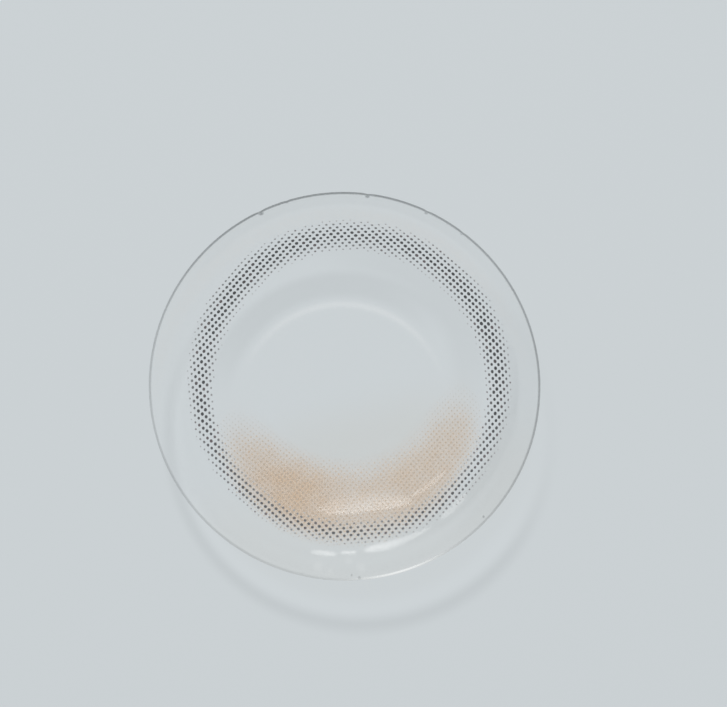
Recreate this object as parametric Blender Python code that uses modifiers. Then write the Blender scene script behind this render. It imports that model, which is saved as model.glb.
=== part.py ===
"""A soft colour contact lens, lying bowl up on a table.

The whole lens is one cast piece of clear water gel. It is a thin bowl: the inner surface is the
base curve that sits on the eye, the outer surface follows it at the wall's thickness, and the rim
is a rounded edge. The tint is ink cast into the gel, so it is a field of colour on the same solid:
a dark ring that rims the iris, with soft borders, and an amber crescent on one side inside it.

Units are metres, +Z is up, and the origin is the middle of the small flat that the gel rests on.
"""

import math

import bmesh
import bpy
import numpy as np

# Bowl
LENS_DIAMETER = 0.0142
BASE_CURVE_RADIUS = 0.0086
BEVEL_START_DIAMETER = 0.0130
BEVEL_CURVE_RADIUS = 0.0105

# The gel is so soft that it flattens where it rests, and curves up from that flat
REST_FLAT_DIAMETER = 0.0018
SETTLED_DIAMETER = 0.0044

# Wall, measured square to the inner surface
CENTRE_THICKNESS = 0.00008
OPTIC_ZONE_DIAMETER = 0.0080
CARRIER_THICKNESS = 0.00015
EDGE_THICKNESS = 0.00010

# Print. It sits a little off the lens's axis, as the cast left it
PRINT_OFFSET_X = 0.00012
PRINT_OFFSET_Y = -0.00008
RING_MIDDLE_DIAMETER = 0.01076
RING_WIDTH = 0.00116
RING_CORE_WIDTH = 0.00058
CRESCENT_REACH_IN = 0.00175
CRESCENT_CORE_REACH_IN = 0.00130
CRESCENT_MIDDLE_ANGLE = math.radians(-87)
CRESCENT_SPREAD = math.radians(132)
CRESCENT_CORE_SPREAD = math.radians(104)

# Fineness of the faces
STEPS_AROUND = 96
NOSE_SEGMENTS = 6
LONGEST_STEP = 0.0005
LEAST_STEP = 0.00006
HEIGHT_SAMPLES = 600
MERGE_DISTANCE = 0.000001

# Radii that follow from the sizes above
REST_FLAT = REST_FLAT_DIAMETER / 2
SETTLED = SETTLED_DIAMETER / 2
OPTIC_ZONE = OPTIC_ZONE_DIAMETER / 2
BEVEL_START = BEVEL_START_DIAMETER / 2
RING_MIDDLE = RING_MIDDLE_DIAMETER / 2
RING_INNER = RING_MIDDLE - RING_WIDTH / 2
RING_OUTER = RING_MIDDLE + RING_WIDTH / 2
RING_CORE_INNER = RING_MIDDLE - RING_CORE_WIDTH / 2
RING_CORE_OUTER = RING_MIDDLE + RING_CORE_WIDTH / 2
CRESCENT_INNER = RING_INNER - CRESCENT_REACH_IN
CRESCENT_CORE_INNER = RING_INNER - CRESCENT_CORE_REACH_IN

# Colour fields, in the order of the material slots
FIELDS = {
    "clear_gel": {"colour": (0.86, 0.90, 0.91), "alpha": 0.18},
    "ring_core": {"colour": (0.045, 0.050, 0.055), "alpha": 0.55},
    "ring_fade": {"colour": (0.045, 0.050, 0.055), "alpha": 0.28},
    "amber_core": {"colour": (0.62, 0.36, 0.17), "alpha": 0.50},
    "amber_fade": {"colour": (0.62, 0.36, 0.17), "alpha": 0.26},
}
GEL_ROUGHNESS = 0.05
GEL_REFRACTION = 1.42


def clear_scene():
    """Remove whatever the file opened with."""
    for thing in list(bpy.data.objects):
        bpy.data.objects.remove(thing, do_unlink=True)


def make_collection(name):
    """A collection for the object's parts."""
    collection = bpy.data.collections.new(name)
    bpy.context.scene.collection.children.link(collection)
    return collection


def arc_zones():
    """The inner surface outside the flat, as arcs: where each starts, its radius of curvature,
    and the height and the sine of the slope at its start. Each arc leaves at the slope where the
    one before it ends."""
    settled_sine = SETTLED / BASE_CURVE_RADIUS
    curvatures = [
        (REST_FLAT, (SETTLED - REST_FLAT) / settled_sine),
        (SETTLED, BASE_CURVE_RADIUS),
        (BEVEL_START, BEVEL_CURVE_RADIUS),
    ]
    zones = []
    height, sine = CENTRE_THICKNESS, 0.0
    for place, (start, curve) in enumerate(curvatures):
        zones.append((start, curve, height, sine))
        if place + 1 < len(curvatures):
            end_sine = sine + (curvatures[place + 1][0] - start) / curve
            height += curve * (math.sqrt(1 - sine**2) - math.sqrt(1 - end_sine**2))
            sine = end_sine
    return zones


ZONES = arc_zones()


def inner_surface(radius):
    """Height of the inner surface at a radius, and the sine of its slope there."""
    if radius <= REST_FLAT:
        return CENTRE_THICKNESS, 0.0
    start, curve, height, start_sine = [zone for zone in ZONES if zone[0] < radius][-1]
    sine = start_sine + (radius - start) / curve
    return height + curve * (math.sqrt(1 - start_sine**2) - math.sqrt(1 - sine**2)), sine


def edge_radius():
    """Radius where the inner surface ends, so that the round nose just reaches the lens's
    diameter."""
    start, curve, _, start_sine = ZONES[-1]
    half_wall = EDGE_THICKNESS / 2
    nose_middle = LENS_DIAMETER / 2 - half_wall
    sine = (nose_middle - start + curve * start_sine) / (curve + half_wall)
    return start + curve * (sine - start_sine)


EDGE = edge_radius()


def wall_thickness(radius):
    """The wall grows from the centre to the rim of the optic zone, and tapers to the edge."""
    if radius <= REST_FLAT:
        return CENTRE_THICKNESS
    if radius <= OPTIC_ZONE:
        share = (radius - REST_FLAT) / (OPTIC_ZONE - REST_FLAT)
        return CENTRE_THICKNESS + (CARRIER_THICKNESS - CENTRE_THICKNESS) * share**2
    share = (radius - OPTIC_ZONE) / (EDGE - OPTIC_ZONE)
    return CARRIER_THICKNESS + (EDGE_THICKNESS - CARRIER_THICKNESS) * share**2


def outer_point(radius):
    """The point of the outer surface square across the wall from the inner one."""
    height, sine = inner_surface(radius)
    wall = wall_thickness(radius)
    return radius + wall * sine, height - wall * math.sqrt(1 - sine**2)


def station_radii():
    """Radii at which the surfaces are cut into rings of faces: every border, and steps between."""
    borders = sorted(
        [
            0.0, REST_FLAT, SETTLED, CRESCENT_INNER, CRESCENT_CORE_INNER, OPTIC_ZONE,
            RING_INNER, RING_CORE_INNER, RING_CORE_OUTER, RING_OUTER, BEVEL_START, EDGE,
        ]
    )
    radii = [borders[0]]
    for border in borders[1:]:
        start = radii[-1]
        if border - start < LEAST_STEP or border > EDGE:
            continue
        cuts = 1 if border <= REST_FLAT else math.ceil((border - start) / LONGEST_STEP)
        radii += [start + (border - start) * cut / cuts for cut in range(1, cuts + 1)]
    return radii


def nose_points():
    """The round edge, from the end of the inner surface over to the end of the outer one."""
    height, sine = inner_surface(EDGE)
    cosine = math.sqrt(1 - sine**2)
    half_wall = EDGE_THICKNESS / 2
    middle = (EDGE + half_wall * sine, height - half_wall * cosine)
    points = []
    for segment in range(1, NOSE_SEGMENTS):
        turn = math.pi * segment / NOSE_SEGMENTS
        across, along = half_wall * math.cos(turn), half_wall * math.sin(turn)
        points.append(
            (
                middle[0] - across * sine + along * cosine,
                middle[1] + across * cosine + along * sine,
            )
        )
    return points


def lens_profile():
    """Half section of the lens: out along the inner surface, over the edge, and back down."""
    radii = station_radii()
    inner = [(radius, inner_surface(radius)[0]) for radius in radii]
    outer = [outer_point(radius) for radius in reversed(radii)]
    return inner + nose_points() + outer


def turn_profile(name, points):
    """Turn a half section about the Z axis into one closed mesh."""
    mesh = bpy.data.meshes.new(name + "_profile")
    edges = [(place, place + 1) for place in range(len(points) - 1)]
    mesh.from_pydata([(x, 0.0, z) for x, z in points], edges, [])
    profile = bpy.data.objects.new(name + "_profile", mesh)
    bpy.context.scene.collection.objects.link(profile)
    screw = profile.modifiers.new("turn", "SCREW")
    screw.axis = "Z"
    screw.angle = math.tau
    screw.steps = STEPS_AROUND
    screw.render_steps = STEPS_AROUND
    screw.use_merge_vertices = True
    screw.merge_threshold = MERGE_DISTANCE
    screw.use_smooth_shade = True
    graph = bpy.context.evaluated_depsgraph_get()
    turned = bpy.data.meshes.new_from_object(profile.evaluated_get(graph))
    turned.name = name
    bpy.data.objects.remove(profile, do_unlink=True)
    bpy.data.meshes.remove(mesh)
    return turned


def surface_tables():
    """Height over radius for the inner and the outer surface, for points between the stations."""
    radii = np.linspace(0.0, EDGE, HEIGHT_SAMPLES)
    inner = np.array([(radius, inner_surface(radius)[0]) for radius in radii])
    outer = np.array([outer_point(radius) for radius in radii])
    return inner, outer


def print_pull(radius):
    """How far a ring of faces follows the print off the axis: wholly under the print, and not at
    all on the settled bottom or at the bevel."""
    rise = (radius - SETTLED) / (CRESCENT_INNER - SETTLED)
    fall = (BEVEL_START - radius) / (BEVEL_START - RING_OUTER)
    return min(max(min(rise, fall), 0.0), 1.0)


def shift_print_rings(mesh):
    """Slide the rings of faces that carry the print over the surfaces to the print's centre, so
    that the fields' borders fall on whole faces. The lens keeps its form."""
    inner, outer = surface_tables()
    for vertex in mesh.vertices:
        radius = math.hypot(vertex.co.x, vertex.co.y)
        pull = print_pull(radius)
        if pull == 0.0:
            continue
        heights = [np.interp(radius, table[:, 0], table[:, 1]) for table in (inner, outer)]
        on_inner = vertex.co.z > sum(heights) / 2
        vertex.co.x += pull * PRINT_OFFSET_X
        vertex.co.y += pull * PRINT_OFFSET_Y
        table = inner if on_inner else outer
        vertex.co.z = np.interp(math.hypot(vertex.co.x, vertex.co.y), table[:, 0], table[:, 1])


def field_at(radius, angle):
    """Which colour field lies at a place, given from the print's centre."""
    if RING_CORE_INNER < radius < RING_CORE_OUTER:
        return "ring_core"
    if RING_INNER < radius < RING_OUTER:
        return "ring_fade"
    turn = (angle - CRESCENT_MIDDLE_ANGLE + math.pi) % math.tau - math.pi
    if CRESCENT_CORE_INNER < radius < RING_INNER and abs(turn) < CRESCENT_CORE_SPREAD / 2:
        return "amber_core"
    if CRESCENT_INNER < radius < RING_INNER and abs(turn) < CRESCENT_SPREAD / 2:
        return "amber_fade"
    return "clear_gel"


def colour_fields(mesh):
    """Give each face the slot of the field that it lies in. Both surfaces get it, because the ink
    shows through the gel from either side."""
    inner_height = {}
    graph = bmesh.new()
    graph.from_mesh(mesh)
    names = list(FIELDS)
    for face in graph.faces:
        middle = face.calc_center_median()
        lean = face.normal
        wall = 0.0
        if lean.z < 0.0:
            # Under the outer surface the field is the one square across the wall
            key = round(math.hypot(middle.x, middle.y), 6)
            wall = inner_height.setdefault(key, wall_thickness(min(key, EDGE)))
        x = middle.x - wall * lean.x - PRINT_OFFSET_X
        y = middle.y - wall * lean.y - PRINT_OFFSET_Y
        face.material_index = names.index(field_at(math.hypot(x, y), math.atan2(y, x)))
        face.smooth = True
    graph.to_mesh(mesh)
    graph.free()


def field_material(name, look):
    """Water gel that holds the ink of one colour field."""
    material = bpy.data.materials.new(name)
    material.use_nodes = True
    shader = material.node_tree.nodes["Principled BSDF"]
    shader.inputs["Base Color"].default_value = (*look["colour"], 1.0)
    shader.inputs["Alpha"].default_value = look["alpha"]
    shader.inputs["Roughness"].default_value = GEL_ROUGHNESS
    shader.inputs["Metallic"].default_value = 0.0
    shader.inputs["IOR"].default_value = GEL_REFRACTION
    material.diffuse_color = (*look["colour"], look["alpha"])
    return material


def make_lens(collection):
    """The lens: turned from its half section, then coloured."""
    mesh = turn_profile("lens", lens_profile())
    shift_print_rings(mesh)
    mesh.materials.clear()
    for name, look in FIELDS.items():
        mesh.materials.append(field_material(name, look))
    colour_fields(mesh)
    mesh.shade_smooth()
    lens = bpy.data.objects.new("lens", mesh)
    collection.objects.link(lens)
    return lens


clear_scene()
make_lens(make_collection("colour_contact_lens"))
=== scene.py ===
"""A soft colour contact lens lying bowl up on a pale table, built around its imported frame."""

import math

import bpy
from mathutils import Matrix, Vector


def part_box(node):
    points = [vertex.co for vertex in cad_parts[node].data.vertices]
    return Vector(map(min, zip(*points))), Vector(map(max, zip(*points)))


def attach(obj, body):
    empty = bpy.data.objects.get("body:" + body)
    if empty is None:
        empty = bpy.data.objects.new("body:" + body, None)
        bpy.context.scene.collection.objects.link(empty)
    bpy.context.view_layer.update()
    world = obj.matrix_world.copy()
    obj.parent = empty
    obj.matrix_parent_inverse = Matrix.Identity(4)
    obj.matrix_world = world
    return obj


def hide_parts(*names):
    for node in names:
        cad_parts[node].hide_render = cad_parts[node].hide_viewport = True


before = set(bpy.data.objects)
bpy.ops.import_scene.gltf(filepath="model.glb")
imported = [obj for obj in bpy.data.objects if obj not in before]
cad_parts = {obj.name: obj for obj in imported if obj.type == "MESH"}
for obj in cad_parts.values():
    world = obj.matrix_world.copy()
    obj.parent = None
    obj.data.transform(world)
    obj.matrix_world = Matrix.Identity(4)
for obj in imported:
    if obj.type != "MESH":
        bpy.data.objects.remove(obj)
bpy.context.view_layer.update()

# The gel bowl.
# The real lens is one cast piece of clear water gel, a tenth of a millimetre thick. It is cast
# between two cups, so both faces are arcs turned about one axis, and the rim is left rounded.

MM = 0.001

# The bowl's shape, as in the CAD model. It rests on a small flat, round which the gel has settled a
# little. The wall is thickest at the rim of the optic zone, and a bevel leads to the edge.
RIM_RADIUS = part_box("lens")[1].x
BASE_CURVE = 8.6 * MM
REST_FLAT = 0.9 * MM
SETTLED = 2.2 * MM
OPTIC_ZONE = 4.0 * MM
BEVEL_START = 6.5 * MM
BEVEL_CURVE = 10.5 * MM
CENTRE_WALL = 0.08 * MM
CARRIER_WALL = 0.15 * MM
EDGE_WALL = 0.10 * MM

# The steps of its mesh
STEPS_OUT = 48
STEPS_NOSE = 12
STEPS_AROUND = 540
SWEEP_RADIUS = 3.0 * MM
WELD = 0.0002 * MM

# The wet surface: how much it mirrors seen head on, how that grows towards a glancing look, and how
# rough it is, a little more so in smears
HEAD_ON_MIRROR = 0.030
MIRROR_GROWS = 5.0
PLAIN_FACING = 0.5
WET_ROUGHNESS = 0.06
SMEAR_ROUGHNESS = 0.03
SMEAR_SIZE = 1.1 * MM
SMEAR_DETAIL = 3.0
SMEAR_FROM = 0.40
SMEAR_FULL = 0.75

# The clear gel, faintly warm on one side of the margin outside the print
CLEAR_COLOUR = (0.998, 0.999, 0.999)
WARM_COLOUR = (0.998, 0.993, 0.985)
WARM_TOWARDS = (0.26, -0.97, 0.0)
WARM_FROM = 0.25
WARM_FULL = 0.65
MARGIN_STARTS = 5.60 * MM
MARGIN_FULL = 6.00 * MM

# The colour that has spread from the crescent towards the middle, together with painted shade on
# that side
INK_AND_SHADE_TINT = (0.988, 0.979, 0.965)
TINT_TOWARDS = (0.22, -0.975, 0.0)
TINT_GROWS = (0.3 * MM, 2.6 * MM)
TINT_FALLS = (3.7 * MM, 2.9 * MM)

# The wall where it is seen edge on
WALL_SHADE_FROM = 0.60
WALL_SHADE = 0.10

# The rim's line of painted shade, darkest on one side and with three soft swells round the rim
RIM_SHADE_COLOUR = (0.205, 0.215, 0.215)
RIM_STARTS = 7.00 * MM
RIM_FULL = 7.04 * MM
RIM_SHADE_TOWARDS = (0.15, 0.98, 0.0)
RIM_SHADE_MEAN = 0.243
RIM_SHADE_SWING = 0.157
RIM_SWELLS = 3.0
RIM_SWELL_ANGLE = -10.0
RIM_SWELL = 0.036

# A painted highlight on the stretch of the rim that catches the light: its angle and half width in
# degrees
RIM_GLINT_COLOUR = (0.92, 0.94, 0.94)
RIM_GLINT_ROUGHNESS = 0.5
RIM_GLINT_ANGLE = -73.0
RIM_GLINT_HALF_WIDTH = 11.0
RIM_GLINT_SHARE = 0.65

# What the rim takes from the shadow's light and what it gathers further in, less on one side
RIM_SHADOW_STARTS = 6.80 * MM
RIM_SHADOW_FULL = 6.95 * MM
RIM_SHADOW = 0.33
RIM_GATHERS_FROM = 6.35 * MM
RIM_GATHERS_FULL = 6.60 * MM
RIM_GATHERED = (1.05, 1.05, 1.05)
RIM_SHADOW_WEAK_TOWARDS = (0.866, 0.500, 0.0)
RIM_SHADOW_WEAK_COSINES = (0.20, 0.85)
RIM_SHADOW_WEAKER_BY = 0.80

# The film of water under the bowl: painted light along its edge, brightest on one side,
# and a band of painted shade round it
FILM_MIDDLE = (-0.17 * MM, -1.23 * MM, 0.0)
FILM_RADIUS = 3.87 * MM
FILM_EDGE = 0.12 * MM
FILM_LIT_TOWARDS = (0.0, 1.0, 0.0)
FILM_LIT_FALLS = 9.0
FILM_LIGHT = 0.11
FILM_SHADE_TOWARDS = (-0.276, 0.961, 0.0)
FILM_SHADE_COSINES = (0.30, 0.95)
FILM_SHADE_RISES = (0.08 * MM, 0.55 * MM)
FILM_SHADE_FALLS = (1.45 * MM, 1.00 * MM)
FILM_SHADE = 0.050

# Faint painted shade in the gel: a direction, the cosines from it between which the shade grows, the
# radii between which it rises and falls, and how dark it is
PAST_THE_RIM = (9.00 * MM, 8.00 * MM)
PAINTED_SHADES = [
    ((0.71, 0.71, 0.0), (0.40, 1.00), (3.60 * MM, 4.30 * MM), (5.30 * MM, 4.80 * MM), 0.032),
    ((0.99, -0.14, 0.0), (0.60, 0.97), (5.60 * MM, 6.00 * MM), PAST_THE_RIM, 0.028),
    ((0.00, 1.00, 0.0), (0.40, 0.90), (6.50 * MM, 6.70 * MM), PAST_THE_RIM, 0.024),
    ((0.82, -0.57, 0.0), (0.70, 0.97), (5.75 * MM, 6.00 * MM), (6.45 * MM, 6.20 * MM), 0.030),
]

# Small nicks along the rim: angle in degrees, how far in the torn spot lies, its size, how deep
# it dents the outline, and how dark it looks
NICKS = [
    (115.6, 0.10 * MM, 0.13 * MM, 0.025 * MM, 0.38),
    (107.2, 0.06 * MM, 0.08 * MM, 0.015 * MM, 0.30),
    (83.2, 0.10 * MM, 0.12 * MM, 0.022 * MM, 0.34),
    (65.0, 0.10 * MM, 0.09 * MM, 0.020 * MM, 0.26),
    (52.8, 0.08 * MM, 0.08 * MM, 0.015 * MM, 0.22),
    (-43.3, 0.17 * MM, 0.06 * MM, 0.010 * MM, 0.24),
    (-85.6, 0.07 * MM, 0.09 * MM, 0.020 * MM, 0.20),
    (-87.9, 0.18 * MM, 0.05 * MM, 0.005 * MM, 0.16),
]
NICK_CORE = 0.3
NICK_REACH_IN = 0.12 * MM

# Pale smudges of painted reflection near the rim: where, how far they reach, and how pale they are
PALE_REFLECTIONS = [
    ((-0.98 * MM, -6.66 * MM, 0.0), 0.30 * MM, 0.050),
    ((-0.56 * MM, -6.82 * MM, 0.0), 0.24 * MM, 0.035),
    ((0.12 * MM, -6.45 * MM, 0.0), 0.22 * MM, 0.045),
    ((0.60 * MM, -6.68 * MM, 0.0), 0.26 * MM, 0.050),
]


class Wire:
    """An output of a node. Python's operators on it add the Math nodes that they stand for."""

    def __init__(self, socket):
        self.socket = socket
        self.tree = socket.id_data

    @classmethod
    def node(cls, tree, kind, settings=None, sockets=None, output=0):
        """Any node: its type, its settings, which come first, and its sockets' values or links. A
        colour is three numbers."""
        made = tree.nodes.new(kind)
        for name, value in (settings or {}).items():
            if name == "stops":
                ramp = made.color_ramp
                for place, _ in value[2:]:
                    ramp.elements.new(place)
                for element, (place, colour) in zip(ramp.elements, value):
                    element.position = place
                    element.color = (*colour, 1.0)
            else:
                setattr(made, name, value)
        for key, value in (sockets or {}).items():
            socket = made.inputs[key]
            if isinstance(value, Wire):
                tree.links.new(value.socket, socket)
            elif socket.type == "RGBA":
                socket.default_value = (*value, 1.0)
            else:
                socket.default_value = value
        return cls(made.outputs[output]) if len(made.outputs) else made

    def out(self, name):
        """Another output of the same node."""
        return Wire(self.socket.node.outputs[name])

    def math(self, operation, *others):
        sockets = dict(enumerate([self, *others]))
        return Wire.node(self.tree, "ShaderNodeMath", {"operation": operation}, sockets)

    def vector(self, operation, sockets=None):
        """Vector maths on this wire, with the other sockets by index or by name."""
        named = {0: self, **(sockets or {})}
        return Wire.node(self.tree, "ShaderNodeVectorMath", {"operation": operation}, named)

    def flat(self):
        """This place, seen from straight above."""
        return self.vector("MULTIPLY", {1: (1.0, 1.0, 0.0)})

    def length(self):
        return self.vector("LENGTH").out("Value")

    def angle(self):
        """The angle at which this place lies round the upright axis."""
        parts = Wire.node(self.tree, "ShaderNodeSeparateXYZ", None, {"Vector": self})
        return parts.out("Y").math("ARCTAN2", parts.out("X"))

    def towards(self, direction):
        """How far this place lies in a direction."""
        return self.vector("DOT_PRODUCT", {1: direction}).out("Value")

    def distance(self, point):
        return self.vector("DISTANCE", {1: point}).out("Value")

    def step(self, start, end):
        """0 up to start and 1 from end, with a soft rise between."""
        settings = {"interpolation_type": "SMOOTHSTEP"}
        sockets = {"Value": self, "From Min": start, "From Max": end}
        return Wire.node(self.tree, "ShaderNodeMapRange", settings, sockets)

    def bell(self):
        """1 where this is 0, falling away softly to both sides."""
        return (self * self * -1.0).math("EXPONENT")

    def __add__(self, other):
        return self.math("ADD", other)

    __radd__ = __add__

    def __sub__(self, other):
        return self.math("SUBTRACT", other)

    def __rsub__(self, other):
        return self * -1.0 + other

    def __mul__(self, other):
        return self.math("MULTIPLY", other)

    __rmul__ = __mul__

    def __truediv__(self, other):
        return self.math("DIVIDE", other)

    def __pow__(self, other):
        return self.math("POWER", other)


def arc_zones():
    """The inner face outside the flat, as arcs: start, radius of curvature, and the height and
    the sine of the slope at the start. Each arc leaves at the slope where the last one ends."""
    arcs = [
        (REST_FLAT, (SETTLED - REST_FLAT) * BASE_CURVE / SETTLED),
        (SETTLED, BASE_CURVE),
        (BEVEL_START, BEVEL_CURVE),
    ]
    zones = []
    height, sine = CENTRE_WALL, 0.0
    for place, (start, curve) in enumerate(arcs):
        zones.append((start, curve, height, sine))
        if place + 1 < len(arcs):
            end_sine = sine + (arcs[place + 1][0] - start) / curve
            height += curve * (math.sqrt(1 - sine**2) - math.sqrt(1 - end_sine**2))
            sine = end_sine
    return zones


ZONES = arc_zones()


def inner_face(radius):
    """Height of the inner face at a radius, and the sine of its slope there."""
    if radius <= REST_FLAT:
        return CENTRE_WALL, 0.0
    start, curve, height, start_sine = [zone for zone in ZONES if zone[0] < radius][-1]
    sine = start_sine + (radius - start) / curve
    return height + curve * (math.sqrt(1 - start_sine**2) - math.sqrt(1 - sine**2)), sine


def edge_radius():
    """Radius where the inner face ends, so that the round nose just reaches the rim's radius."""
    start, curve, _, start_sine = ZONES[-1]
    half_wall = EDGE_WALL / 2
    sine = (RIM_RADIUS - half_wall - start + curve * start_sine) / (curve + half_wall)
    return start + curve * (sine - start_sine)


EDGE = edge_radius()


def wall_at(radius):
    """The wall grows from the centre to the rim of the optic zone, and tapers to the edge."""
    if radius <= REST_FLAT:
        return CENTRE_WALL
    if radius <= OPTIC_ZONE:
        share = (radius - REST_FLAT) / (OPTIC_ZONE - REST_FLAT)
        return CENTRE_WALL + (CARRIER_WALL - CENTRE_WALL) * share**2
    share = (radius - OPTIC_ZONE) / (EDGE - OPTIC_ZONE)
    return CARRIER_WALL + (EDGE_WALL - CARRIER_WALL) * share**2


def half_section():
    """Half section of the lens: out along the inner face, over the rim, and back below."""
    radii = [EDGE * step / STEPS_OUT for step in range(STEPS_OUT + 1)]
    points = [(radius, inner_face(radius)[0]) for radius in radii]
    height, sine = inner_face(EDGE)
    cosine = math.sqrt(1 - sine**2)
    half_wall = EDGE_WALL / 2
    for step in range(1, STEPS_NOSE):
        turn = math.pi * step / STEPS_NOSE
        across, along = half_wall * (1 - math.cos(turn)), half_wall * math.sin(turn)
        points.append((EDGE + across * sine + along * cosine, height - across * cosine + along * sine))
    for radius in reversed(radii):
        height, sine = inner_face(radius)
        wall = wall_at(radius)
        points.append((radius + wall * sine, height - wall * math.sqrt(1 - sine**2)))
    return points


def placed(name, data):
    """A new object in the scene, at the origin."""
    made = bpy.data.objects.new(name, data)
    bpy.context.scene.collection.objects.link(made)
    return made


def new_tree(name, inputs):
    """A geometry tree with named inputs, and a wire from each. inputs gives name: kind."""
    tree = bpy.data.node_groups.new(name, "GeometryNodeTree")
    tree.interface.new_socket("Geometry", in_out="OUTPUT", socket_type="NodeSocketGeometry")
    for label, kind in inputs.items():
        tree.interface.new_socket(label, in_out="INPUT", socket_type="NodeSocket" + kind)
    source = tree.nodes.new("NodeGroupInput")
    return tree, {label: Wire(source.outputs[label]) for label in inputs}


def end_tree(tree, geometry, material):
    """Each tree ends in real geometry in its material."""
    real = Wire.node(tree, "GeometryNodeRealizeInstances", None, {"Geometry": geometry})
    sockets = {"Geometry": real, "Material": material}
    dressed = Wire.node(tree, "GeometryNodeSetMaterial", None, sockets)
    Wire.node(tree, "NodeGroupOutput", None, {"Geometry": dressed})


def grow(name, tree, values):
    """Run a geometry tree, and keep what it makes as a plain mesh."""
    seed = placed(name + "_seed", bpy.data.meshes.new(name + "_seed"))
    modifier = seed.modifiers.new("grow", "NODES")
    modifier.node_group = tree
    for socket in tree.interface.items_tree:
        if socket.in_out == "INPUT":
            modifier[socket.identifier] = values[socket.name]
    graph = bpy.context.evaluated_depsgraph_get()
    mesh = bpy.data.meshes.new_from_object(seed.evaluated_get(graph))
    mesh.name = name
    bpy.data.objects.remove(seed, do_unlink=True)
    return placed(name, mesh)


def section_object():
    """The half section as a line of edges for the sweep."""
    points = half_section()
    mesh = bpy.data.meshes.new("lens_section")
    edges = [(place, place + 1) for place in range(len(points) - 1)]
    mesh.from_pydata([(x - SWEEP_RADIUS, -z, 0.0) for x, z in points], edges, [])
    return placed("lens_section", mesh)


def turned_bowl_tree():
    """Sweep a half section round a circle. The section lies flat in XY, set in by the circle's
    radius, and its two ends meet on the axis, where they are welded."""
    inputs = {
        "Section": "Object",
        "Sweep Radius": "Float",
        "Steps Around": "Int",
        "Weld": "Float",
        "Gel": "Material",
    }
    tree, put = new_tree("turned_bowl", inputs)
    section = Wire.node(tree, "GeometryNodeObjectInfo", None, {"Object": put["Section"]}, "Geometry")
    line = Wire.node(tree, "GeometryNodeMeshToCurve", None, {"Mesh": section})
    sockets = {"Resolution": put["Steps Around"], "Radius": put["Sweep Radius"]}
    path = Wire.node(tree, "GeometryNodeCurvePrimitiveCircle", None, sockets)
    sockets = {"Curve": path, "Profile Curve": line}
    swept = Wire.node(tree, "GeometryNodeCurveToMesh", None, sockets)
    sockets = {"Geometry": swept, "Distance": put["Weld"]}
    closed = Wire.node(tree, "GeometryNodeMergeByDistance", None, sockets)
    smooth = Wire.node(tree, "GeometryNodeSetShadeSmooth", None, {"Geometry": closed})
    end_tree(tree, smooth, put["Gel"])
    return tree


def nick_rim(mesh):
    """Dent the rim inwards at each nick, most at the very edge."""
    for vertex in mesh.vertices:
        radius = math.hypot(vertex.co.x, vertex.co.y)
        near_edge = (radius - (RIM_RADIUS - NICK_REACH_IN)) / NICK_REACH_IN
        if near_edge <= 0.0:
            continue
        angle = math.atan2(vertex.co.y, vertex.co.x)
        dent = 0.0
        for degrees, _, size, depth, _ in NICKS:
            away = (angle - math.radians(degrees) + math.pi) % math.tau - math.pi
            dent += depth * math.exp(-((away * RIM_RADIUS / size) ** 2))
        scale = 1.0 - dent * near_edge / radius
        vertex.co.x *= scale
        vertex.co.y *= scale


def blank_material(name):
    """A new material, and its tree, which has no nodes yet."""
    material = bpy.data.materials.new(name)
    material.use_nodes = True
    material.node_tree.nodes.clear()
    return material, material.node_tree


def see_through(tree, colour):
    """A finish that lets light straight through, times a colour."""
    return Wire.node(tree, "ShaderNodeBsdfTransparent", None, {"Color": colour})


def painted(tree, colour, roughness, gloss=0.5):
    """A finish that light doesn't go through."""
    sockets = {"Base Color": colour, "Roughness": roughness, "Specular IOR Level": gloss}
    return Wire.node(tree, "ShaderNodeBsdfPrincipled", None, sockets)


def mixed(share, first, second):
    """The first finish where the share is 0, and the second where it is 1."""
    return Wire.node(first.tree, "ShaderNodeMixShader", None, {0: share, 1: first, 2: second})


def show(finish):
    """The material shows this finish."""
    Wire.node(finish.tree, "ShaderNodeOutputMaterial", None, {"Surface": finish})


def clear_gel(flat):
    """Gel lets light straight through. The margin outside the print is faintly warm on one side."""
    margin = flat.length().step(MARGIN_STARTS, MARGIN_FULL)
    warm_side = (flat.towards(WARM_TOWARDS) / RIM_RADIUS).step(WARM_FROM, WARM_FULL)
    pure = see_through(flat.tree, CLEAR_COLOUR)
    warm = see_through(flat.tree, WARM_COLOUR)
    return mixed(warm_side * margin, pure, warm)


def ink_and_shade_tint(clear, flat):
    """Inside the crescent a little of its ink has spread towards the middle, with painted shade on
    that side.
    """
    # Ink spread from the crescent, and painted shade on the same side
    grows = flat.towards(TINT_TOWARDS).step(*TINT_GROWS)
    tinted = grows * flat.length().step(*TINT_FALLS)
    return mixed(tinted, clear, see_through(flat.tree, INK_AND_SHADE_TINT))


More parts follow.
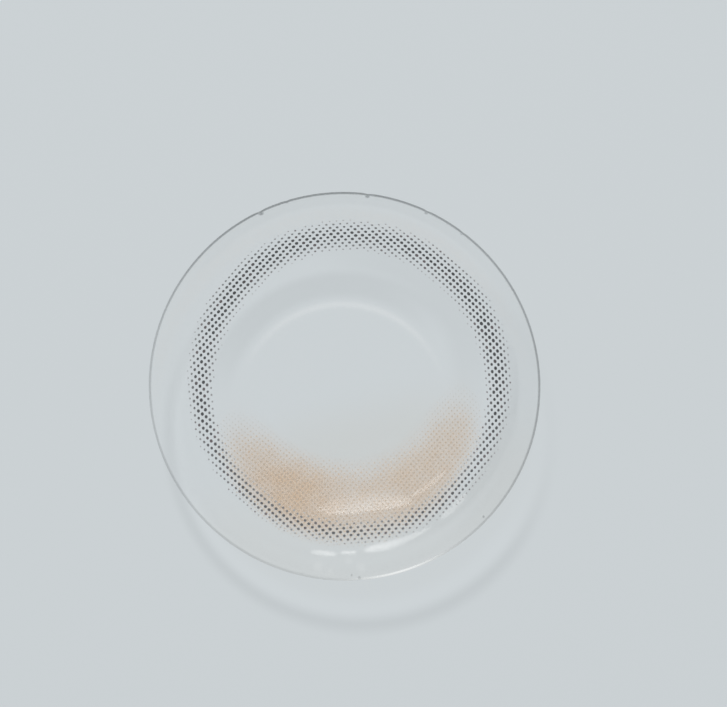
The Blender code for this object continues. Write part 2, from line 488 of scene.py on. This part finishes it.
def gel_darkness(flat, facing):
    """How much of the light seen through the gel is lost: painted shade along the rounded rim, which
    bends light away, darkest on one side, the nicks, the wall seen edge on, and more painted shade
    round the film of water and in a few faint patches."""
    radius = flat.length()
    # The rim's line of painted shade, darkest on one side
    shaded_side = flat.towards(RIM_SHADE_TOWARDS) / RIM_RADIUS
    swells = ((flat.angle() - math.radians(RIM_SWELL_ANGLE)) * RIM_SWELLS).math("COSINE")
    line = shaded_side * RIM_SHADE_SWING + swells * RIM_SWELL + RIM_SHADE_MEAN
    darkness = radius.step(RIM_STARTS, RIM_FULL) * line.math("MAXIMUM", 0.0)
    for degrees, inset, size, _, dark in NICKS:
        reach, turn = RIM_RADIUS - inset, math.radians(degrees)
        gap = flat.distance((reach * math.cos(turn), reach * math.sin(turn), 0.0))
        darkness = darkness.math("MAXIMUM", (1.0 - gap.step(size * NICK_CORE, size)) * dark)
    darkness = darkness.math("MAXIMUM", facing.step(WALL_SHADE_FROM, 1.0) * WALL_SHADE)
    # A band of painted shade round the film of water, darkest on one side
    from_film = flat.vector("SUBTRACT", {1: FILM_MIDDLE})
    off_edge = from_film.length() - FILM_RADIUS
    cosine = from_film.towards(FILM_SHADE_TOWARDS) / from_film.length()
    round_film = off_edge.step(*FILM_SHADE_RISES) * off_edge.step(*FILM_SHADE_FALLS)
    darkness = darkness + cosine.step(*FILM_SHADE_COSINES) * round_film * FILM_SHADE
    # Faint patches of painted shade
    for direction, cosines, rises, falls, share in PAINTED_SHADES:
        cosine = flat.towards(direction) / radius.math("MAXIMUM", REST_FLAT)
        darkness = darkness + cosine.step(*cosines) * radius.step(*rises) * radius.step(*falls) * share
    return darkness


def gel_painted_light(flat):
    """How much painted light the gel scatters back: a painted highlight on the stretch of rim that
    catches the light, painted light along the edge of the film of water, and smudges of painted
    reflection near the rim."""
    # A painted highlight on the stretch of rim that catches the light
    away = (flat.angle() - math.radians(RIM_GLINT_ANGLE)) / math.radians(RIM_GLINT_HALF_WIDTH)
    rim_glint = flat.length().step(RIM_STARTS, RIM_FULL) * away.bell() * RIM_GLINT_SHARE
    # Painted light along the edge of the film of water, brightest on one side
    from_film = flat.vector("SUBTRACT", {1: FILM_MIDDLE})
    edge = ((from_film.length() - FILM_RADIUS) / FILM_EDGE).bell()
    lit = from_film.towards(FILM_LIT_TOWARDS).step(-FILM_RADIUS, FILM_RADIUS)
    film_light_and_smudges = edge * lit**FILM_LIT_FALLS * FILM_LIGHT
    # Smudges of painted reflection near the rim
    for where, size, share in PALE_REFLECTIONS:
        film_light_and_smudges = film_light_and_smudges + (1.0 - flat.distance(where).step(0.0, size)) * share
    return rim_glint + film_light_and_smudges


def gel_shadow(clear, dim, flat):
    """What its shadow is made of: the rim takes light away and gathers some of it further in, less
    so on one side."""
    weak = (flat.towards(RIM_SHADOW_WEAK_TOWARDS) / RIM_RADIUS).step(*RIM_SHADOW_WEAK_COSINES)
    strength = 1.0 - weak * RIM_SHADOW_WEAKER_BY
    gathers = flat.length().step(RIM_GATHERS_FROM, RIM_GATHERS_FULL) * strength
    passed = mixed(gathers, clear, see_through(flat.tree, RIM_GATHERED))
    takes = flat.length().step(RIM_SHADOW_STARTS, RIM_SHADOW_FULL) * RIM_SHADOW * strength
    return mixed(takes, passed, dim)


def gel_material():
    """Clear wet gel, so thin that nothing seen through it shifts. It mirrors more of the room the
    flatter it is looked along."""
    material, tree = blank_material("water_gel")
    place = Wire.node(tree, "ShaderNodeTexCoord", None, None, "Object")
    facing = Wire.node(tree, "ShaderNodeLayerWeight", None, {"Blend": PLAIN_FACING}, "Facing")
    flat = place.flat()
    clear = clear_gel(flat)
    dim = see_through(tree, RIM_SHADE_COLOUR)
    through = mixed(gel_darkness(flat, facing), ink_and_shade_tint(clear, flat), dim)
    # The painted highlight and painted light show through a pale finish
    body = mixed(gel_painted_light(flat), through, painted(tree, RIM_GLINT_COLOUR, RIM_GLINT_ROUGHNESS))
    sockets = {"Vector": place, "Scale": 1 / SMEAR_SIZE, "Detail": SMEAR_DETAIL}
    smear = Wire.node(tree, "ShaderNodeTexNoise", None, sockets).step(SMEAR_FROM, SMEAR_FULL)
    sockets = {"Color": (1.0, 1.0, 1.0), "Roughness": smear * SMEAR_ROUGHNESS + WET_ROUGHNESS}
    gloss = Wire.node(tree, "ShaderNodeBsdfGlossy", None, sockets)
    mirror = facing**MIRROR_GROWS * (1.0 - HEAD_ON_MIRROR) + HEAD_ON_MIRROR
    seen = mixed(mirror, body, gloss)
    is_shadow = Wire.node(tree, "ShaderNodeLightPath", None, None, "Is Shadow Ray")
    show(mixed(is_shadow, seen, gel_shadow(clear, dim, flat)))
    return material


section = section_object()
lens_gel = grow(
    "lens_gel",
    turned_bowl_tree(),
    {
        "Section": section,
        "Sweep Radius": SWEEP_RADIUS,
        "Steps Around": STEPS_AROUND,
        "Weld": WELD,
        "Gel": gel_material(),
    },
)
bpy.data.objects.remove(section, do_unlink=True)
nick_rim(lens_gel.data)
lens_gel.visible_diffuse = False
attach(lens_gel, "root")
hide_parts("lens")


# The dark ring.
# It rims the iris. The ink is printed inside the gel as a square screen of round dots, widest along
# the middle of the ring and shrinking to specks at both borders, which makes the borders look soft.

# The print: where its middle is, how its screens are turned, and what its dots are like
PRINT_MIDDLE = (0.135 * MM, -0.04 * MM, 0.0)
PRINT_DEPTH = 0.03 * MM
SCREEN_TURN = math.radians(49.5)
DROP_HEIGHT = 6.0 * MM
DOT_THICKNESS = 0.01 * MM
DOT_SIDES = 8
DOT_SHRINK = 0.30
SMALLEST_DOT = 0.88
LARGEST_DOT = 1.10
LEAST_INK = 0.03
INK_ROUGHNESS = 0.6
INK_GLOSS = 0.1
THIN_FROM = 0.75
THIN_SHARE = 0.6

# The ring's own screen and its borders
RING_PITCH = 0.179 * MM
RING_DOTS_ACROSS = 72
RING_DOT = 0.132 * MM
RING_WANDER = 0.006 * MM
RING_SEED = 11
RING_MIDDLE = 5.365 * MM
RING_HALF_WIDTH = 0.68 * MM

# The side where the ring is slimmer and further out, and fainter there as painted highlight
RING_SLIM_ANGLE = -93.0
RING_SLIM_FROM = -0.70
RING_SLIM_FULL = 0.50
RING_SLIMMER_BY = 0.32
RING_FURTHER_OUT = 0.12 * MM
RING_HIGHLIGHT_LIGHTENS_BY = 0.25

# Uneven places in the ring: angle and half width in degrees, and share of ink more or less
RING_UNEVEN = [
    (2.0, 32.0, 0.24),
    (88.0, 22.0, -0.15),
    (188.0, 16.0, 0.15),
    (-82.0, 18.0, -0.10),
    (-32.0, 12.0, -0.15),
]

# The ring's ink, from the least to the most, and in the dots that took less of it
RING_INK = [
    (0.0, (0.520, 0.535, 0.540)),
    (0.10, (0.400, 0.410, 0.415)),
    (0.30, (0.260, 0.265, 0.270)),
    (0.70, (0.110, 0.113, 0.117)),
    (1.0, (0.060, 0.062, 0.065)),
]
RING_THIN_INK = (0.170, 0.140, 0.145)

SCREEN_INPUTS = {
    "Gel": "Object",
    "Pitch": "Float",
    "Dots Across": "Int",
    "Screen Turn": "Float",
    "Print Middle": "Vector",
    "Print Depth": "Float",
    "Drop Height": "Float",
    "Dot Width": "Float",
    "Dot Thickness": "Float",
    "Dot Sides": "Int",
    "Wander": "Float",
    "Least Ink": "Float",
    "Shrink": "Float",
    "Smallest": "Float",
    "Largest": "Float",
    "Seed": "Int",
    "Ink": "Material",
}

# What both screens share
SHARED_VALUES = {
    "Gel": lens_gel,
    "Screen Turn": SCREEN_TURN,
    "Print Middle": PRINT_MIDDLE,
    "Drop Height": DROP_HEIGHT,
    "Dot Thickness": DOT_THICKNESS,
    "Dot Sides": DOT_SIDES,
    "Least Ink": LEAST_INK,
    "Shrink": DOT_SHRINK,
    "Smallest": SMALLEST_DOT,
    "Largest": LARGEST_DOT,
}


def moved(geometry, position):
    """The same points, each at a new place."""
    sockets = {"Geometry": geometry, "Position": position}
    return Wire.node(geometry.tree, "GeometryNodeSetPosition", None, sockets)


def noted(geometry, domain, name, value):
    """The same geometry, with a number kept under a name, for the material to read."""
    settings = {"data_type": "FLOAT", "domain": domain}
    sockets = {"Geometry": geometry, "Name": name, "Value": value}
    return Wire.node(geometry.tree, "GeometryNodeStoreNamedAttribute", settings, sockets)


def drawn(seed, lowest, highest):
    """A number for each dot, drawn at random between two limits."""
    sockets = {2: lowest, 3: highest, "Seed": seed}
    return Wire.node(seed.tree, "FunctionNodeRandomValue", {"data_type": "FLOAT"}, sockets, 1)


def dot_screen_tree(name, own_inputs, ink_at):
    """A square screen of flat round dots inside the gel. ink_at gives how much ink there is at a
    place, a radius and an angle about the print's middle. Dots with less ink are smaller."""
    tree, put = new_tree(name, {**SCREEN_INPUTS, **own_inputs})
    here = Wire.node(tree, "GeometryNodeInputPosition")
    side = put["Pitch"] * (put["Dots Across"] - 1.0)
    sockets = {
        "Size X": side,
        "Size Y": side,
        "Vertices X": put["Dots Across"],
        "Vertices Y": put["Dots Across"],
    }
    sheet = Wire.node(tree, "GeometryNodeMeshGrid", None, sockets)
    sockets = {"Vector": here, "Angle": put["Screen Turn"]}
    turned = Wire.node(tree, "ShaderNodeVectorRotate", {"rotation_type": "Z_AXIS"}, sockets)
    sockets = {0: (-1.0, -1.0, 0.0), 1: (1.0, 1.0, 0.0), "Seed": put["Seed"]}
    wander = Wire.node(tree, "FunctionNodeRandomValue", {"data_type": "FLOAT_VECTOR"}, sockets)
    strays = wander.vector("SCALE", {"Scale": put["Wander"]})
    spread = moved(sheet, turned.vector("ADD", {1: strays}))

    flat = here.flat()
    inked = noted(spread, "POINT", "ink", ink_at(put, flat, flat.length(), flat.angle()))
    ink = Wire.node(tree, "GeometryNodeInputNamedAttribute", {"data_type": "FLOAT"}, {"Name": "ink"})
    sockets = {"Geometry": inked, "Selection": put["Least Ink"].math("GREATER_THAN", ink)}
    kept = Wire.node(tree, "GeometryNodeDeleteGeometry", {"domain": "POINT"}, sockets)

    # Each dot drops straight down on the inner face and sinks into the wall
    gel = Wire.node(tree, "GeometryNodeObjectInfo", None, {"Object": put["Gel"]}, "Geometry")
    lift = Wire.node(tree, "ShaderNodeCombineXYZ", None, {"Z": put["Drop Height"]})
    lifted = moved(kept, here.vector("ADD", {1: put["Print Middle"]}).vector("ADD", {1: lift}))
    sockets = {
        "Target Geometry": gel,
        "Source Position": flat.vector("ADD", {1: lift}),
        "Ray Direction": (0.0, 0.0, -1.0),
        "Ray Length": put["Drop Height"] * 2.0,
    }
    landing = Wire.node(tree, "GeometryNodeRaycast", None, sockets)
    normal = landing.out("Hit Normal")
    sunk = normal.vector("SCALE", {"Scale": put["Print Depth"]})
    seated = moved(lifted, landing.out("Hit Position").vector("SUBTRACT", {1: sunk}))

    # A disc one wide and one thick is scaled to each dot, and leans with the face
    uneven = drawn(put["Seed"] + 1.0, put["Smallest"], put["Largest"])
    across = ink ** put["Shrink"] * put["Dot Width"] * uneven
    sockets = {"X": across, "Y": across, "Z": put["Dot Thickness"]}
    size = Wire.node(tree, "ShaderNodeCombineXYZ", None, sockets)
    sockets = {"Vertices": put["Dot Sides"], "Radius": 0.5, "Depth": 1.0}
    disc = Wire.node(tree, "GeometryNodeMeshCylinder", {"fill_type": "NGON"}, sockets)
    lean = Wire.node(tree, "FunctionNodeAlignRotationToVector", {"axis": "Z"}, {"Vector": normal})
    sockets = {"Points": seated, "Instance": disc, "Rotation": lean, "Scale": size}
    dots = Wire.node(tree, "GeometryNodeInstanceOnPoints", None, sockets)
    shaded = noted(dots, "INSTANCE", "shade", drawn(put["Seed"] + 2.0, 0.0, 1.0))
    end_tree(tree, shaded, put["Ink"])
    return tree


def ring_ink_at(put, _place, radius, angle):
    """Most ink along the middle of the ring and none at its two borders. On one side the ring is
    slimmer and a little further out, and fainter there as painted highlight."""
    slim = (angle - math.radians(RING_SLIM_ANGLE)).math("COSINE").step(RING_SLIM_FROM, RING_SLIM_FULL)
    middle = put["Ring Middle"] + slim * slim * RING_FURTHER_OUT
    across = (radius - middle) / (put["Ring Half Width"] * (1.0 - slim * RING_SLIMMER_BY))
    # Less ink on that side, as painted highlight
    full = 1.0 - slim * RING_HIGHLIGHT_LIGHTENS_BY
    for degrees, half_width, share in RING_UNEVEN:
        towards = (angle - math.radians(degrees)).math("COSINE") - 1.0
        full = full + (towards * (2.0 / math.radians(half_width) ** 2)).math("EXPONENT") * share
    return (1.0 - across * across).math("MAXIMUM", 0.0) ** 2.0 * full


def read(tree, name):
    """A number that a mesh keeps under a name."""
    return Wire.node(tree, "ShaderNodeAttribute", {"attribute_name": name}, None, "Fac")


def ink_material(name, stops, thin_colour):
    """Matt ink. It is thinner towards the borders, and some dots took less of it than others."""
    material, tree = blank_material(name)
    colour = Wire.node(tree, "ShaderNodeValToRGB", {"stops": stops}, {"Fac": read(tree, "ink")})
    thin = read(tree, "shade").step(THIN_FROM, 1.0) * THIN_SHARE
    sockets = {"Factor": thin, 6: colour, 7: thin_colour}
    uneven = Wire.node(tree, "ShaderNodeMix", {"data_type": "RGBA"}, sockets, 2)
    show(painted(tree, uneven, INK_ROUGHNESS, INK_GLOSS))
    return material


ring_dots = grow(
    "ring_dots",
    dot_screen_tree("ring_screen", {"Ring Middle": "Float", "Ring Half Width": "Float"}, ring_ink_at),
    {
        **SHARED_VALUES,
        "Pitch": RING_PITCH,
        "Dots Across": RING_DOTS_ACROSS,
        "Print Depth": PRINT_DEPTH,
        "Dot Width": RING_DOT,
        "Wander": RING_WANDER,
        "Seed": RING_SEED,
        "Ink": ink_material("ring_ink", RING_INK, RING_THIN_INK),
        "Ring Middle": RING_MIDDLE,
        "Ring Half Width": RING_HALF_WIDTH,
    },
)
ring_dots.visible_diffuse = ring_dots.visible_shadow = False
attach(ring_dots, "root")


# The amber crescent.
# It lies inside the dark ring on one side of the print. The same kind of screen with a finer pitch
# and a pale ink, strongest in two patches and thinning out to specks towards its tips.

# The crescent's own screen, a little deeper than the ring's
AMBER_PITCH = 0.1445 * MM
AMBER_DOTS_ACROSS = 82
AMBER_DOT = 0.096 * MM
AMBER_DEPTH = PRINT_DEPTH + 2 * DOT_THICKNESS
AMBER_WANDER = 0.004 * MM
AMBER_SEED = 23

# Its borders: the radii between which the ink comes up and fades, and how much slimmer it is
# towards its tips, measured from the middles of both borders
AMBER_INNER = 2.75 * MM
AMBER_FULL = 4.20 * MM
AMBER_FADES = 5.03 * MM
AMBER_OUTER = 6.10 * MM
AMBER_TIP_RISE = 0.20 * MM
AMBER_TIP_FALL = 0.45 * MM
AMBER_MIDDLE = -60.0
AMBER_OUTER_MIDDLE = -98.0
AMBER_TIP_TURN = 60.0

# The patches: angle and half width in degrees, and share of ink
AMBER_PATCHES = [
    (-117.0, 22.0, 0.98),
    (-54.0, 30.0, 0.69),
    (-88.0, 22.0, 0.25),
    (-26.0, 12.0, 0.22),
    (-142.0, 14.0, 0.30),
]
MOTTLE_SIZE = 0.55 * MM
MOTTLE_DETAIL = 1.0
MOTTLE = 0.6
AMBER_INK = [
    (0.0, (0.575, 0.575, 0.560)),
    (0.25, (0.545, 0.480, 0.400)),
    (0.9, (0.480, 0.392, 0.308)),
]
AMBER_THIN_INK = (0.560, 0.450, 0.340)

# The wash between the dots
WASH_COLOUR = (0.560, 0.350, 0.170)
WASH_SHARE = 0.36
WASH_DEPTH = 0.075 * MM
WASH_THICKNESS = 0.01 * MM
WASH_ANGLES = (-176.0, 14.0)
WASH_STEPS_AROUND = 95
WASH_STEPS_OUT = 22

CRESCENT = {
    "Crescent Inner": AMBER_INNER,
    "Crescent Full": AMBER_FULL,
    "Crescent Fades": AMBER_FADES,
    "Crescent Outer": AMBER_OUTER,
}


def amber_ink_at(put, place, radius, angle):
    """Ink in soft patches along the crescent, which is slimmer towards its tips, with a fine
    mottle."""
    ink = 0.0
    for degrees, half_width, share in AMBER_PATCHES:
        away = (angle - math.radians(degrees)) / math.radians(half_width)
        ink = ink + away.bell() * share
    turn = (angle - math.radians(AMBER_MIDDLE)) / math.radians(AMBER_TIP_TURN)
    risen = radius - turn * turn * AMBER_TIP_RISE
    inward = risen.step(put["Crescent Inner"], put["Crescent Full"])
    turn = (angle - math.radians(AMBER_OUTER_MIDDLE)) / math.radians(AMBER_TIP_TURN)
    fallen = radius + turn * turn * AMBER_TIP_FALL
    outward = fallen.step(put["Crescent Outer"], put["Crescent Fades"])
    sockets = {"Vector": place, "Scale": 1 / MOTTLE_SIZE, "Detail": MOTTLE_DETAIL}
    mottle = (Wire.node(place.tree, "ShaderNodeTexNoise", None, sockets) - 0.5) * MOTTLE + 1.0
    return ink * inward * outward * mottle


def wash_material(name):
    """Between the dots the ink has spread into the gel as a thin wash of colour."""
    material, tree = blank_material(name)
    place = Wire.node(tree, "ShaderNodeTexCoord", None, None, "Object")
    local = place.vector("SUBTRACT", {1: PRINT_MIDDLE}).flat()
    ink = amber_ink_at(CRESCENT, local, local.length(), local.angle())
    clear = Wire.node(tree, "ShaderNodeBsdfTransparent")
    show(mixed(ink * WASH_SHARE, clear, painted(tree, WASH_COLOUR, INK_ROUGHNESS, INK_GLOSS)))
    return material


def wash_film():
    """The wash as a thin closed film inside the wall, a little deeper than the dots."""
    across, out = WASH_STEPS_AROUND + 1, WASH_STEPS_OUT + 1
    points = []
    for depth in (WASH_DEPTH, WASH_DEPTH + WASH_THICKNESS):
        for step in range(across):
            share = step / WASH_STEPS_AROUND
            angle = math.radians(WASH_ANGLES[0] + (WASH_ANGLES[1] - WASH_ANGLES[0]) * share)
            for place in range(out):
                radius = AMBER_INNER + (AMBER_OUTER - AMBER_INNER) * place / WASH_STEPS_OUT
                x = PRINT_MIDDLE[0] + radius * math.cos(angle)
                y = PRINT_MIDDLE[1] + radius * math.sin(angle)
                reach = math.hypot(x, y)
                height, sine = inner_face(reach)
                sunk = 1.0 + depth * sine / reach
                points.append((x * sunk, y * sunk, height - depth * math.sqrt(1 - sine**2)))
    below = across * out
    faces = []
    for step in range(WASH_STEPS_AROUND):
        for place in range(WASH_STEPS_OUT):
            a = step * out + place
            top = (a, a + 1, a + out + 1, a + out)
            faces += [top, tuple(corner + below for corner in reversed(top))]

    # Walls close the film along its four borders
    borders = [
        list(range(out)),
        [out * k + out - 1 for k in range(across)],
        [below - 1 - k for k in range(out)],
        [out * (across - 1 - k) for k in range(across)],
    ]
    for line in borders:
        faces += [(b, a, a + below, b + below) for a, b in zip(line, line[1:])]
    mesh = bpy.data.meshes.new("amber_wash")
    mesh.from_pydata(points, [], faces)
    mesh.materials.append(wash_material("amber_wash"))
    mesh.shade_smooth()
    return placed("amber_wash", mesh)


amber_wash = wash_film()
amber_wash.visible_diffuse = amber_wash.visible_shadow = False
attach(amber_wash, "root")

amber_dots = grow(
    "amber_dots",
    dot_screen_tree("amber_screen", {label: "Float" for label in CRESCENT}, amber_ink_at),
    {
        **SHARED_VALUES,
        **CRESCENT,
        "Pitch": AMBER_PITCH,
        "Dots Across": AMBER_DOTS_ACROSS,
        "Print Depth": AMBER_DEPTH,
        "Dot Width": AMBER_DOT,
        "Wander": AMBER_WANDER,
        "Seed": AMBER_SEED,
        "Ink": ink_material("amber_ink", AMBER_INK, AMBER_THIN_INK),
    },
)
amber_dots.visible_diffuse = amber_dots.visible_shadow = False
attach(amber_dots, "root")


# The table, the lamps and the camera.
# They aren't part of the lens. A plain pale table top, one soft lamp overhead that gives the shadow,
# bright bands that only show as highlights in the wet gel, and soft light all round.

# The table's top lies a hair below the lens, so that the two share no face
TABLE_COLOUR = (0.597, 0.638, 0.658)
TABLE_ROUGHNESS = 0.9
TABLE_SIDE = 2.0
TABLE_TOP = -0.02 * MM

# The light all round, and the lamp: the side it stands on, how far it leans from straight up, how
# far off it is and how wide it looks from the lens
ROOM_LIGHT = 0.73
LAMP_DIRECTION = Vector((-0.198, 0.980))
LAMP_LEAN = math.radians(33.6)
LAMP_DISTANCE = 1.0
LAMP_SPREAD = math.radians(6.5)
LAMP_POWER = 3.22

# The bright bands: the azimuth that theirs count from, how far off they are, how blunt their ends
# are, and where a fade ends, just past the top
STRIP_AZIMUTH = math.atan2(0.94, -0.34)
STRIP_DISTANCE = 0.8
STRIP_STEPS = 24
STRIP_BLUNTNESS = 4
STRIP_TOP = 1.01


def table_top():
    mesh = bpy.data.meshes.new("table_top")
    half = TABLE_SIDE / 2
    sides = [(-half, -half), (half, -half), (half, half), (-half, half)]
    mesh.from_pydata([(x, y, TABLE_TOP) for x, y in sides], [], [(0, 1, 2, 3)])
    material, tree = blank_material("pale_table")
    show(painted(tree, TABLE_COLOUR, TABLE_ROUGHNESS, gloss=0.0))
    mesh.materials.append(material)
    placed("table_top", mesh)


def overhead_lamp():
    data = bpy.data.lights.new("overhead_lamp", "AREA")
    data.shape = "DISK"
    data.size = 2 * LAMP_DISTANCE * math.tan(LAMP_SPREAD / 2)
    data.energy = LAMP_POWER
    lamp = placed("overhead_lamp", data)
    side = LAMP_DIRECTION.normalized() * math.sin(LAMP_LEAN)
    towards = Vector((side.x, side.y, math.cos(LAMP_LEAN)))
    lamp.location = towards * LAMP_DISTANCE
    lamp.rotation_mode = "QUATERNION"
    lamp.rotation_quaternion = towards.to_track_quat("Z", "Y")
    lamp.visible_camera = lamp.visible_glossy = lamp.visible_transmission = False


def strip_material(name, strength, fade_from):
    """Light that can fade out towards the top of the band."""
    material, tree = blank_material(name)
    glow = Wire.node(tree, "ShaderNodeEmission", None, {"Strength": strength})
    none = Wire.node(tree, "ShaderNodeBsdfTransparent")
    show(mixed(read(tree, "rise").step(fade_from, STRIP_TOP), glow, none))
    material.cycles.emission_sampling = "FRONT_BACK"
    return material


def highlight_strip(name, start, end, strength, fade_from=1.0, narrows_to=0.5, bow=0.0, nearer=0.0):
    """A bright band above the horizon, bent round the lens, that only the lens's shine shows.
    start and end each give an azimuth, a lowest and a highest elevation, and bow lifts the middle.
    Towards its ends the band narrows to a share of its height. It can fade out upwards, from a
    share of its height. A core stands nearer than the band that it brightens."""
    points, rises = [], []
    distance = STRIP_DISTANCE - nearer
    for step in range(STRIP_STEPS + 1):
        share = step / STRIP_STEPS
        azimuth, low, high = [a + (b - a) * share for a, b in zip(start, end)]
        azimuth = STRIP_AZIMUTH + math.radians(azimuth)
        open_share = 1.0 - (2.0 * share - 1.0) ** STRIP_BLUNTNESS
        for rise in (0.0, 1.0):
            lift = low + (high - low) * (narrows_to + (rise - narrows_to) * open_share)
            lift = math.radians(lift + bow * 4.0 * share * (1.0 - share))
            height, out = distance * math.sin(lift), distance * math.cos(lift)
            points.append((out * math.cos(azimuth), out * math.sin(azimuth), height))
            rises.append(rise)
    faces = [(2 * k, 2 * k + 1, 2 * k + 3, 2 * k + 2) for k in range(STRIP_STEPS)]
    mesh = bpy.data.meshes.new(name)
    mesh.from_pydata(points, [], faces)
    mesh.attributes.new("rise", "FLOAT", "POINT").data.foreach_set("value", rises)
    mesh.materials.append(strip_material(name, strength, fade_from))
    strip = placed(name, mesh)
    strip.visible_camera = strip.visible_diffuse = False
    strip.visible_shadow = strip.visible_transmission = False


def room():
    """Even white light all round. The camera and the shine see the table's colour there."""
    world = bpy.data.worlds.new("room")
    bpy.context.scene.world = world
    world.use_nodes = True
    tree = world.node_tree
    tree.nodes.clear()
    sockets = {"Color": (1.0, 1.0, 1.0), "Strength": ROOM_LIGHT}
    light = Wire.node(tree, "ShaderNodeBackground", None, sockets)
    backdrop = Wire.node(tree, "ShaderNodeBackground", None, {"Color": TABLE_COLOUR})
    seen = Wire.node(tree, "ShaderNodeLightPath", None, None, "Is Camera Ray")
    for ray in ("Is Glossy Ray", "Is Transmission Ray"):
        seen = seen.math("MAXIMUM", Wire.node(tree, "ShaderNodeLightPath", None, None, ray))
    sky = mixed(seen, light, backdrop)
    Wire.node(tree, "ShaderNodeOutputWorld", None, {"Surface": sky})
    world.cycles.sampling_method = "NONE"


table_top()
overhead_lamp()
highlight_strip("inner_strip", (-32.0, 26.5, 39.5), (15.0, 22.5, 35.5), 3.4, 0.1, 0.2, bow=4.2)
highlight_strip("inner_edge", (-29.0, 26.2, 29.0), (14.0, 22.3, 25.1), 4.4, bow=4.1)
highlight_strip("inner_streak", (14.0, 26.1, 28.5), (35.0, 23.8, 25.8), 3.0)
highlight_strip("first_dash", (-31.0, 3.3, 6.2), (-21.0, 3.3, 6.2), 3.3)
highlight_strip("second_dash", (-20.0, 5.1, 6.7), (-13.5, 5.1, 6.7), 3.7)
highlight_strip("third_dash", (-11.5, 3.5, 10.0), (17.0, 5.1, 6.7), 2.5)
highlight_strip("third_core", (-10.5, 4.2, 8.8), (4.0, 4.9, 7.4), 3.5, nearer=0.02)
highlight_strip("fourth_dash", (20.5, 4.7, 8.2), (34.5, 4.7, 8.2), 2.3)
room()

# The camera looks down from almost straight above, at the height of the rim
VIEW_LEAN = math.radians(7.1)
VIEW_TOWARDS = Vector((0.247, 0.969, 0.0))
VIEW_DISTANCE = 0.30
VIEW_SHIFT = (0.69 * MM, 1.21 * MM)
RIM_HEIGHT = 3.54 * MM
FOCAL_LENGTH = 410.0

back = VIEW_TOWARDS.normalized() * math.sin(VIEW_LEAN) + Vector((0, 0, math.cos(VIEW_LEAN)))
right = Vector((0, 1, 0)).cross(back).normalized()
up = back.cross(right)
camera_data = bpy.data.cameras.new("camera")
camera_data.lens = FOCAL_LENGTH
camera_data.clip_start = MM
camera = placed("camera", camera_data)
place = Vector((0, 0, RIM_HEIGHT)) + right * VIEW_SHIFT[0] + up * VIEW_SHIFT[1] + back * VIEW_DISTANCE
camera.matrix_world = Matrix.Translation(place) @ Matrix((right, up, back)).transposed().to_4x4()
bpy.context.scene.camera = camera
bpy.context.scene.view_settings.view_transform = "Standard"
